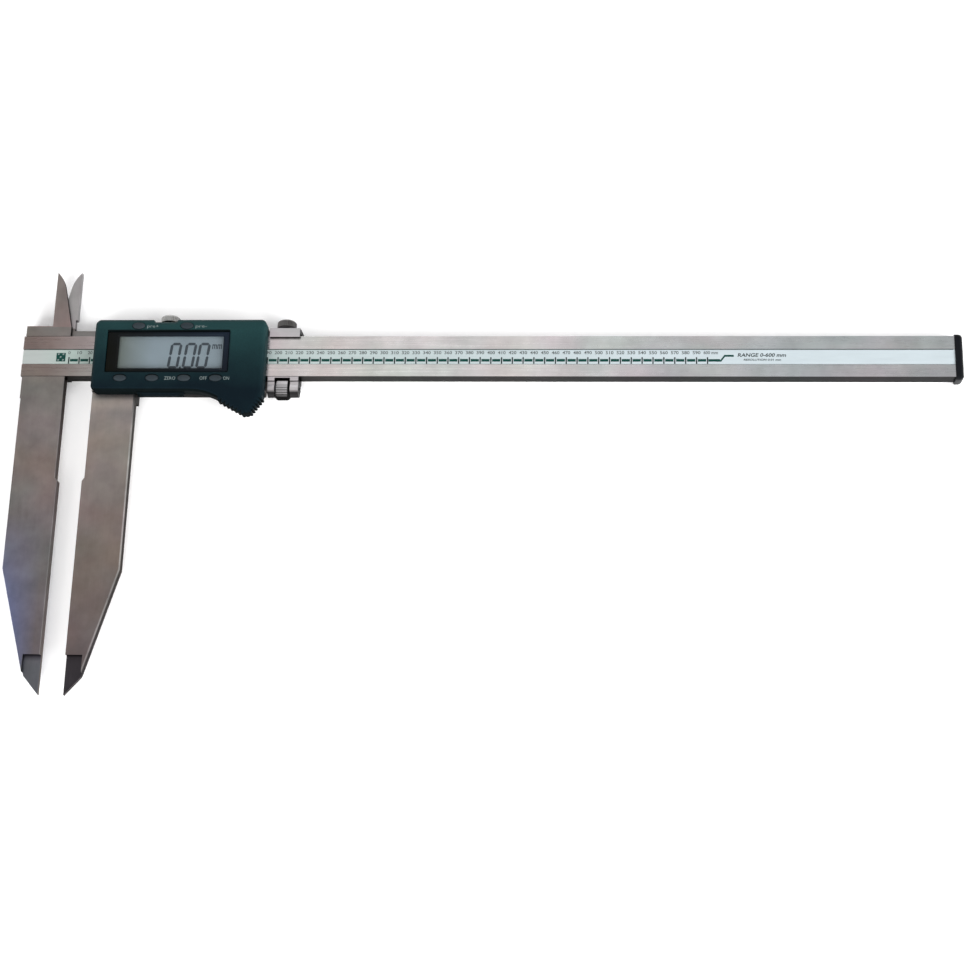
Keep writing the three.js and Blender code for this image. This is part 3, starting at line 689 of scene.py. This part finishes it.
jaw_piece("fixed_jaw", "fixed_jaw_body", "beam",
          [FIXED_JAW, HEAD, FIXED_TIP, FIXED_BLADE, FIXED_CHAMFER], 0.5)
jaw_piece("slider_frame", "slider_frame_body", "slider", [JAW, HEAD, TIP, BLADE, CHAMFER], 1.1)


def knurled_head(node, height, teeth, crown):
    """A locking screw: knurled head of the given height with a domed crown, and a plain shank."""
    low, high = box_mm(node)
    radius = (high.x - low.x) / 2
    axis_x, axis_z = (low.x + high.x) / 2, (low.z + high.z) / 2
    top, bottom = high.y, high.y - height
    profile = [(2.3, low.y, 0), (2.5, low.y + 0.4, 0), (2.5, bottom - 0.1, 0), (radius - 1.9, bottom, 0),
               (radius - 1.5, bottom + 0.5, 0.2), (radius - 0.3, bottom + 1.0, 1), (radius, bottom + 1.4, 1),
               (radius, top - crown - 0.5, 1), (radius - 0.3, top - crown, 1),
               (radius - 1.2, top - crown * 0.5, 0.3), (radius - 2.4, top - crown * 0.18, 0),
               (radius - 4.2, top - 0.05, 0), (radius * 0.25, top, 0)]
    return lathe(profile, "Y", (axis_x, 0, axis_z), teeth * 6, teeth, 0.55)


piece("slider_lock_head", knurled_head("slider_lock_screw", 8.0, 34, 1.8), "slider_lock", SCREW,
      ["slider_lock_screw"], angle=50)
piece("carriage_lock_head", knurled_head("carriage_lock_screw", 8.2, 38, 1.9), "carriage_lock", DARK,
      ["carriage_lock_screw"], angle=50)


def recessed_screw(node, axis, cross, inward=-1):
    """A small screw with a chamfered head: a cross recess, or a hexagon socket when cross is false.

    inward is the way along the axis that it is driven in, 1 or -1.
    """
    low, high = box_mm(node)
    index = "XYZ".index(axis)
    radius = (high[(index + 1) % 3] - low[(index + 1) % 3]) / 2
    length = high[index] - low[index]
    shank = radius * 0.5 if cross else radius
    head = 1.7 if cross else length - 0.3
    profile = [(radius * 0.72, 0, 0), (radius * 0.94, 0.18, 0), (radius, 0.5, 0), (radius, head, 0),
               (shank, head + 0.05, 0), (shank, length - 0.3, 0), (shank * 0.7, length, 0)]
    base = (low + high) / 2
    base[index] = low[index] if inward > 0 else high[index]
    body = lathe([(r, h * inward, k) for r, h, k in profile], axis, base, 40)
    if not cross:
        depths = sorted((-0.6 * inward, 1.6 * inward))
        return carve(body, lathe([(radius * 0.5, depth, 0) for depth in depths], axis, base, 6))
    slots = []
    for long_way in ((index + 1) % 3, (index + 2) % 3):
        half = [0.28 * radius / 2.9] * 3
        half[long_way] = radius * 0.55
        half[index] = 0.9
        x, y, z = [(base[i] - half[i], base[i] + half[i]) for i in range(3)]
        slots.append(block(*x, *y, *z))
    return carve(body, *slots)


for number in range(1, 5):
    node = f"back_plate_screw_{number}"
    piece(f"{node}_cross", recessed_screw(node, "Z", True, inward=1), "slider", SCREW, [node])
for number in range(1, 3):
    node = f"end_cap_screw_{number}"
    piece(f"{node}_cross", recessed_screw(node, "X", True), "beam", SCREW, [node])
    node = f"gib_screw_{number}"
    piece(f"{node}_socket", recessed_screw(node, "Y", False), "slider", DARK, [node])


# ---- fine adjustment

def threaded_rod(node, pitch=1.0, depth=0.5, segments=28):
    """A screw thread cut all along a rod that lies on X, with short plain chamfered ends."""
    low, high = box_mm(node)
    radius = (high.z - low.z) / 2
    centre_y, centre_z = (low.y + high.y) / 2, (low.z + high.z) / 2
    steps = int((high.x - low.x) / pitch * 8)
    rings = []
    for i in range(steps + 1):
        x = low.x + (high.x - low.x) * i / steps
        end = min(1.0, (x - low.x) / 0.8, (high.x - x) / 0.8)
        ring = []
        for j in range(segments):
            turn = j / segments
            phase = (x / pitch + turn) % 1.0
            cut = depth * abs(2 * phase - 1)
            r = radius - cut * end - 0.6 * (1 - end)
            angle = 2 * math.pi * turn
            ring.append((x, centre_y + r * math.cos(angle), centre_z + r * math.sin(angle)))
        rings.append(ring)
    return loft(rings)


piece("adjust_thread", threaded_rod("adjust_screw"), "slider", SCREW, ["adjust_screw"],
      angle=60)


def knurled_nut(node, bore=3.3, teeth=36):
    """The adjusting nut: a knurled ring on X with bevelled shoulders."""
    low, high = box_mm(node)
    radius, length = (high.z - low.z) / 2, high.x - low.x
    shoulder = [(bore, 0, 0), (6.5, 0, 0), (7.8, 0.1, 0), (radius - 0.5, 1.3, 0.5), (radius, 2.0, 1)]
    profile = shoulder + [(r, length - h, knurl) for r, h, knurl in reversed(shoulder)]
    return lathe(profile, "X", (low.x, (low.y + high.y) / 2, (low.z + high.z) / 2), teeth * 6, teeth, 0.5,
                 closed=True)


piece("adjust_wheel_knurl", knurled_nut("adjust_nut"), "adjust_wheel", WHEEL, ["adjust_nut"],
      angle=50)
piece("carriage_body", from_cad("carriage_block"), "carriage", CARRIAGE, ["carriage_block"],
      edge=0.6, segments=3)


# ---- display housing

HOUSING_LOW, HOUSING_HIGH = box_mm("front_housing")
LEFT, RIGHT, TOP = HOUSING_LOW.x, HOUSING_HIGH.x, HOUSING_HIGH.y
FRONT, REAR = HOUSING_HIGH.z, HOUSING_LOW.z
BOTTOM = -58.5
LOCK_X = sum(corner.x for corner in box_mm("slider_lock_screw")) / 2
NOTCH_MOUTH, NOTCH_FLOOR, NOTCH_DEPTH = 11.6, 9.6, 2.4    # half widths and depth, under the locking screw
# Corner of the outline: x, y, radius, and how many grip teeth stand on the edge that leaves it.
CORNERS = [
    (LEFT, BOTTOM, 5.5, 0), (134.7, BOTTOM, 56.0, 7), (176.2, -81.6, 3.0, 6), (RIGHT, -63.0, 2.5, 0),
    (RIGHT, TOP, 5.5, 0), (LOCK_X + NOTCH_MOUTH, TOP, 1.0, 0),
    (LOCK_X + NOTCH_FLOOR, TOP - NOTCH_DEPTH, 1.0, 0), (LOCK_X - NOTCH_FLOOR, TOP - NOTCH_DEPTH, 1.0, 0),
    (LOCK_X - NOTCH_MOUTH, TOP, 1.0, 0), (LEFT, TOP, 5.5, 0),
]
ARC_STEPS, TOOTH_STEPS, EDGE_STEPS = 8, 10, 3


def housing_outline(inset, tooth):
    """The housing's outline moved in by inset, with grip teeth of the given height standing out of it."""
    places = [Vector(corner[:2]) for corner in CORNERS]
    count = len(places)
    ways = [(places[(i + 1) % count] - places[i]).normalized() for i in range(count)]
    arcs = []
    for i, (x, y, radius, _) in enumerate(CORNERS):
        before, after = ways[i - 1], ways[i]
        turn = math.atan2(before.x * after.y - before.y * after.x, before.dot(after))
        inward = Vector((-before.y, before.x))
        onward = Vector((-after.y, after.x)) * inset
        moved = Vector((x, y)) + onward + after * ((inward * inset - onward).dot(inward) / after.dot(inward))
        bend = max(radius - inset, 0.15) if turn > 0 else radius + inset
        reach = bend * math.tan(abs(turn) / 2)
        start = moved - before * reach
        centre = start + inward * (bend if turn > 0 else -bend)
        arm = start - centre
        arcs.append([centre + Matrix.Rotation(turn * k / ARC_STEPS, 2) @ arm for k in range(ARC_STEPS + 1)])
    outline = []
    for i in range(count):
        outline += [tuple(p) for p in arcs[i]]
        start, end = arcs[i][-1], arcs[(i + 1) % count][0]
        teeth = CORNERS[i][3]
        out = Vector((ways[i].y, -ways[i].x))
        steps = teeth * TOOTH_STEPS if teeth else EDGE_STEPS
        for k in range(1, steps):
            rise = 0.0
            if teeth:
                rise = tooth * abs(math.sin(math.pi * k / TOOTH_STEPS)) ** 0.7
            outline.append(tuple(start.lerp(end, k / steps) + out * rise))
    return outline


FLAT_BAND = (-41.5, 0.7)         # the housing's face is level from here to here in y


def face_fall(y):
    """How far the housing's face has dropped at y, above or below its level band."""
    return max(0.0, y - FLAT_BAND[1]) * 0.13 + max(0.0, FLAT_BAND[0] - y) * 0.045


def tilt_bands(mesh):
    """Lets the housing's face fall away above and below the display."""
    for y in reversed(FLAT_BAND):
        geometry = mesh.verts[:] + mesh.edges[:] + mesh.faces[:]
        bmesh.ops.bisect_plane(mesh, geom=geometry, plane_co=(0, y, 0), plane_no=(0, 1, 0))
    for vertex in mesh.verts:
        weight = max(0.0, min(1.0, (vertex.co.z - 9.5) / 4))
        vertex.co.z -= weight * face_fall(vertex.co.y)
    return mesh


def ellipse(centre, half, grow=0.0, count=48):
    return [(centre[0] + (half[0] + grow) * math.cos(2 * math.pi * i / count),
             centre[1] + (half[1] + grow) * math.sin(2 * math.pi * i / count)) for i in range(count)]


def rounded(x0, x1, y0, y1, radius, grow=0.0, steps=5):
    """A rectangle with round corners, grown outward on every side."""
    radius = max(radius + grow, 0.05)
    points = []
    for cx, cy, start in ((x1, y0, -0.5), (x1, y1, 0.0), (x0, y1, 0.5), (x0, y0, 1.0)):
        inner_x = cx + (grow - radius) * (1 if cx == x1 else -1)
        inner_y = cy + (grow - radius) * (1 if cy == y1 else -1)
        for k in range(steps + 1):
            angle = math.pi * (start + 0.5 * k / steps)
            points.append((inner_x + radius * math.cos(angle), inner_y + radius * math.sin(angle)))
    return points


def raise_to(outline, z):
    return [(x, y, z) for x, y in outline]


KEYS = ["button_preset_up", "button_preset_down", "button_unit", "button_hold", "button_zero", "button_power"]
KEY_BODY = {name: "key_" + name[len("button_"):] for name in KEYS}
KEY_HALF = (6.1, 3.2)


def key_centre(name):
    low, high = box_mm(name)
    return ((low.x + high.x) / 2, (low.y + high.y) / 2)


BEZEL_LOW, BEZEL_HIGH = box_mm("display_bezel")
WINDOW = (BEZEL_LOW.x - 0.4, BEZEL_HIGH.x + 0.4, BEZEL_LOW.y - 0.4, BEZEL_HIGH.y + 0.4)
DRAWER_LOW, DRAWER_HIGH = box_mm("battery_drawer")
# The hollow for the slider's frame and the boards on it, in y, a little larger than what it holds.
HOLLOW_BOTTOM, HOLLOW_TOP = -56.0 - 0.3, 9.5 + 0.3
HOLLOW_RIGHT = box_mm("slider_frame")[1].x + 0.3

shell = loft([raise_to(housing_outline(inset, tooth), z) for z, inset, tooth in (
    (REAR, 0.0, 1.9), (REAR + 5, 0.0, 1.9), (10.6, 0.0, 1.9), (11.4, 0.2, 1.8), (12.3, 0.8, 1.5),
    (13.1, 1.6, 1.0), (13.7, 2.5, 0.4), (FRONT, 3.9, 0.0))])
shell = tilt_bands(shell)
cutters = [
    block(LEFT + 2, RIGHT - 2, HOLLOW_BOTTOM, HOLLOW_TOP, 3.4, 11.0),
    block(LEFT - 5, HOLLOW_RIGHT, HOLLOW_BOTTOM, HOLLOW_TOP, REAR - 1, 3.45),
    block(DRAWER_LOW.x - 0.3, DRAWER_HIGH.x + 0.3, -90, -55.5, 3.3, 8.1),
    loft([raise_to(rounded(*WINDOW, 1.2, grow), z) for z, grow in
          ((10.5, 0), (12.9, 0), (13.3, 0.25), (FRONT + 0.01, 1.1), (FRONT + 3, 1.1))]),
]
for name in KEYS:
    cutters.append(loft([raise_to(ellipse(key_centre(name), KEY_HALF, grow), z) for z, grow in
                         ((10.5, 0.3), (13.0, 0.3), (13.5, 0.45), (FRONT + 0.01, 0.7), (FRONT + 2, 0.7))]))
# Faces that look towards -y take the underside material, painted shade.
shell = paint(carve(shell, *cutters), lambda normal, centre: int(normal.y < -0.55))
piece("housing_shell", shell, "slider", [HOUSING, UNDERSIDE], ["front_housing"], angle=30)


# ---- display

VIEW = (50.3, 149.6, -36.2, -4.2)         # the bezel's opening
outside = (BEZEL_LOW.x, BEZEL_HIGH.x, BEZEL_LOW.y, BEZEL_HIGH.y)
back, front = BEZEL_LOW.z, BEZEL_HIGH.z
inner_rings = [raise_to(rounded(*VIEW, 0.8, grow), z) for z, grow in
               ((back, 0.0), (back + 0.8, -0.1), (front - 0.5, 0.9), (front, 1.4))]
outer_rings = [raise_to(rounded(*outside, 1.0, grow), z) for z, grow in
               ((front, -0.5), (front - 0.5, 0.0), (back, 0.0))]
piece("bezel_frame", loft(inner_rings + outer_rings, closed=True), "slider", BEZEL, ["display_bezel"],
      angle=30)

LCD_Z = box_mm("display_panel")[1].z + 0.005
DIGIT_WIDTH, DIGIT_HEIGHT, STROKE = 8.4, 23.4, 2.6
DIGIT_LEFTS = (97.9, 112.1, 124.9)
DIGIT_BOTTOM, SLANT = -34.4, 0.115
SEGMENT_GAP = 0.2
SEGMENTS = "abcdef"              # the segments that show a nought: all but the middle one


def segment(left, letter):
    """One slanted bar of a seven-segment digit, pointed at both ends."""
    w, h, s, gap = DIGIT_WIDTH, DIGIT_HEIGHT / 2, STROKE / 2, SEGMENT_GAP
    ends = {"a": ((0, 2 * h), (w, 2 * h)), "b": ((w, h), (w, 2 * h)), "c": ((w, 0), (w, h)),
            "d": ((0, 0), (w, 0)), "e": ((0, 0), (0, h)), "f": ((0, h), (0, 2 * h))}
    (x0, y0), (x1, y1) = ends[letter]
    if y0 == y1:
        shape = [(x0 + gap, y0), (x0 + gap + s, y0 - s), (x1 - gap - s, y0 - s), (x1 - gap, y0),
                 (x1 - gap - s, y0 + s), (x0 + gap + s, y0 + s)]
    else:
        shape = [(x0, y0 + gap), (x0 + s, y0 + gap + s), (x0 + s, y1 - gap - s), (x0, y1 - gap),
                 (x0 - s, y1 - gap - s), (x0 - s, y0 + gap + s)]
    points = [(left + x + y * SLANT, DIGIT_BOTTOM + y) for x, y in shape]
    return prism(points, LCD_Z, LCD_Z + LAYER)


shown = []
for left in DIGIT_LEFTS:
    shown += [segment(left, letter) for letter in SEGMENTS]
shown.append(bar(108.6, 110.2, DIGIT_BOTTOM - 0.8, DIGIT_BOTTOM + 0.9, LCD_Z))
shown.append(lettering("mm", 138.4, 147.6, -15.8, 7.0, LCD_Z, 0.1))
piece("lcd_digits", join(*shown), "slider", LCD_INK)


# ---- end cap

CAP_LOW, CAP_HIGH = box_mm("end_cap")
crown = [(CAP_LOW.x, -0.5), (CAP_LOW.x + 0.5, 0.0), (CAP_HIGH.x - 3.4, 0.0), (CAP_HIGH.x - 2.1, -0.4),
         (CAP_HIGH.x - 1.0, -1.2), (CAP_HIGH.x - 0.3, -2.3), (CAP_HIGH.x, -3.6)]
cap = loft([[(x, y, z) for y, z in rounded(CAP_LOW.y, CAP_HIGH.y, CAP_LOW.z, CAP_HIGH.z, 4.0, grow)]
            for x, grow in crown])
cutters = [block(CAP_LOW.x - 1, BEAM_X[1] + 0.3, -BEAM_WIDTH - 0.3, 0.3, -BEAM_DEPTH - 0.3, 0.3)]
for number in range(1, 3):
    low, high = box_mm(f"end_cap_screw_{number}")
    on_axis = (0, (low.y + high.y) / 2, (low.z + high.z) / 2)
    for radius, start, end, sides in ((1.8, BEAM_X[1] - 1, high.x - 1.9, 24),
                                      (3.3, high.x - 1.95, CAP_HIGH.x + 1, 32)):
        cutters.append(lathe([(radius, start, 0), (radius, end, 0)], "X", on_axis, sides))
piece("end_cap_body", carve(cap, *cutters), "beam", BLACK, ["end_cap"], angle=30)


# ---- keys and their captions

for name in KEYS:
    low, high = box_mm(name)
    centre = key_centre(name)
    dome = [(low.z, 0.7), (low.z + 1.3, 0.7), (low.z + 1.5, 0.0), (high.z - 1.6, 0.0), (high.z - 1.0, -0.12),
            (high.z - 0.55, -0.5), (high.z - 0.25, -1.1), (high.z - 0.08, -1.9), (high.z, -2.9)]
    rings = [raise_to(ellipse(centre, KEY_HALF, grow), z) for z, grow in dome]
    piece(name + "_cap", loft(rings), KEY_BODY[name], KEY, [name], angle=40)


captions = []
for text, left, right, bottom, height in (
        ("pre+", 76.6, 87.4, 3.4, 3.3), ("pre-", 122.8, 133.4, 3.4, 3.3), ("ZERO", 96.8, 107.2, -48.6, 3.3),
        ("OFF", 130.2, 136.9, -48.6, 3.3), ("ON", 152.4, 158.0, -48.6, 3.3)):
    letters = lettering(text, left, right, bottom, height, 0.0, weight=-0.006)
    for vertex in letters.verts:
        vertex.co.z += FRONT - face_fall(vertex.co.y) + 0.01
    captions.append(letters)
piece("key_captions", join(*captions), "slider", PALE_INK)


# ---- battery drawer

# Faces that look towards -y take the underside material, painted shade.
drawer = paint(from_cad("battery_drawer"), lambda normal, centre: int(normal.y < -0.5))
piece("battery_drawer_body", drawer, "battery_tray", [HOUSING, UNDERSIDE], ["battery_drawer"],
      edge=0.8, segments=3, angle=40)
ribs = [prism(ellipse(centre, (0.45, 0.45), count=12), DRAWER_LOW.x + 4, DRAWER_HIGH.x - 4, axis="X")
        for centre in ((-60.9, 4.9), (-60.05, 6.9))]
piece("battery_drawer_ribs", join(*ribs), "battery_tray", HOUSING, edge=0.15)


# ---- CAD nodes that stay as they are

# Material, rounding of the edges in millimetres, and the nodes that have them.
KEPT = [
    (LABEL, 0.05, "scale_label"), (BOARD, 0.05, "stator_strip"), (JAW, 0.4, "back_plate"),
    (SCREW, 0.4, "jaw_rivet_1 jaw_rivet_2 jaw_rivet_3"), (BRASS, 0.2, "gib_strip carriage_gib"),
    (BOARD, 0.15, "sensor_board"), (BLACK, 0.2, "controller_chip"),
    (MEMBRANE, 0.3, "contact_strip_1 contact_strip_2"), (LCD, 0.2, "display_panel"),
    (GLASS, 0.2, "display_window"), (MEMBRANE, 0.15, "upper_membrane"), (MEMBRANE, 0.1, "lower_membrane"),
    (SCREW, 0.5, "battery"), (SCREW, 0.2, "housing_screw_1 housing_screw_2 housing_screw_3 housing_screw_4"),
]
for material, edge, node in [(*look, node) for *look, nodes in KEPT for node in nodes.split()]:
    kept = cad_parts[node]
    kept.data.materials.clear()
    kept.data.materials.append(material)
    weld = kept.modifiers.new("weld", "WELD")
    weld.merge_threshold = 0.002 * MM
    flats = kept.modifiers.new("flats", "DECIMATE")
    flats.decimate_type = "DISSOLVE"
    flats.angle_limit = math.radians(1.0)
    soften(kept, edge)


# ---- floor, light and camera

FLOOR_HALF, FLOOR_THICK = 15, 0.02        # metres
floor = as_object(block(-FLOOR_HALF, FLOOR_HALF, -FLOOR_HALF, FLOOR_HALF, -FLOOR_THICK, 0.0), "floor")
paper = Finish("floor_paper")
paper.feed("Base Color", paper.mix(paper.noise(3.0, 3.0, 0.5), (0.90, 0.90, 0.90), (0.93, 0.93, 0.93)))
paper.bump(paper.noise(300.0, 2.0, 0.5), 0.05, 0.1)
paper.set(Roughness=0.8, Specular_IOR_Level=0.1, Emission_Color=(1.0, 1.0, 1.0, 1.0), Emission_Strength=0.12)
floor.data.materials.append(paper.material)
floor.location.z = -0.0002                # a hair below the part, in metres
floor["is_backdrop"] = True

# The ceiling, by the sideways part of the direction: darker and warm on the jaws' side, brightest above
# the near half of the beam.
CEILING = [(-1.0, (0.235, 0.215, 0.205)), (-0.31, (0.235, 0.215, 0.205)), (-0.24, (0.42, 0.39, 0.38)),
           (-0.165, (1.16, 1.14, 1.13)), (-0.09, (1.16, 1.16, 1.16)), (-0.025, (0.67, 0.665, 0.67)),
           (0.045, (0.75, 0.745, 0.755)), (0.11, (0.43, 0.435, 0.44)), (0.5, (0.46, 0.47, 0.48)),
           (1.0, (0.6, 0.61, 0.62))]
WALLS = (1.05, 1.05, 1.06, 1.0)
CEILING_EDGE, WALL_EDGE = 0.74, 0.52      # upward part of the direction where one passes into the other
world = bpy.data.worlds.new("studio")
world.use_nodes = True
sky = world.node_tree
direction = sky.nodes.new("ShaderNodeTexCoord")
split = sky.nodes.new("ShaderNodeSeparateXYZ")
half = sky.nodes.new("ShaderNodeMapRange")
half.inputs["From Min"].default_value = -1.0
ramp = sky.nodes.new("ShaderNodeValToRGB")
sky.links.new(direction.outputs["Generated"], split.inputs[0])
sky.links.new(split.outputs["X"], half.inputs[0])
sky.links.new(half.outputs[0], ramp.inputs[0])
height = sky.nodes.new("ShaderNodeMapRange")
height.inputs["From Min"].default_value = CEILING_EDGE
height.inputs["From Max"].default_value = WALL_EDGE
walls = sky.nodes.new("ShaderNodeMix")
walls.data_type = "RGBA"
walls.inputs[7].default_value = WALLS
sky.links.new(split.outputs["Z"], height.inputs[0])
sky.links.new(height.outputs[0], walls.inputs[0])
sky.links.new(ramp.outputs[0], walls.inputs[6])
sky.links.new(walls.outputs[2], sky.nodes["Background"].inputs["Color"])
while len(ramp.color_ramp.elements) < len(CEILING):
    ramp.color_ramp.elements.new(0.5)
for stop, (place, colour) in zip(ramp.color_ramp.elements, CEILING):
    stop.position = (place + 1) / 2
    stop.color = (*colour, 1.0)
bpy.context.scene.world = world


def soft_box(name, place, target, size, power):
    """A rectangular studio light at place, facing target; all in metres. Steel doesn't mirror it."""
    light = bpy.data.lights.new(name, "AREA")
    light.shape = "RECTANGLE"
    light.size, light.size_y = size
    light.energy = power
    made = bpy.data.objects.new(name, light)
    bpy.context.scene.collection.objects.link(made)
    made.visible_glossy = False
    made.location = place
    made.rotation_euler = (Vector(target) - Vector(place)).to_track_quat("-Z", "Y").to_euler()


soft_box("side_light", (2.2, -0.9, 1.7), (0.0, 0.0, 0.0), (1.6, 1.6), 88.0)
soft_box("front_light", (-0.9, -2.0, 1.6), (-0.1, 0.0, 0.0), (1.8, 1.4), 60.0)

FOCAL_LENGTH, SENSOR = 66.94, 36.0
CAMERA_PLACE = (517.14, -615.10, 1563.89)
FORWARD = Vector((-0.07349, 0.28755, -0.95494))
UPWARD = Vector((-0.00531, 0.95740, 0.28870))
camera_data = bpy.data.cameras.new("camera")
camera_data.lens = FOCAL_LENGTH
camera_data.sensor_width = SENSOR
camera_data.clip_start, camera_data.clip_end = 0.05, 50.0
camera = bpy.data.objects.new("camera", camera_data)
bpy.context.scene.collection.objects.link(camera)
right = FORWARD.cross(UPWARD).normalized()
upward = right.cross(FORWARD).normalized()
turned = Matrix((right, upward, -FORWARD.normalized())).transposed().to_4x4()
camera.matrix_world = Matrix.Translation(metres(CAMERA_PLACE)) @ turned
bpy.context.scene.camera = camera
bpy.context.scene.view_settings.view_transform = "Standard"

low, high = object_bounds()
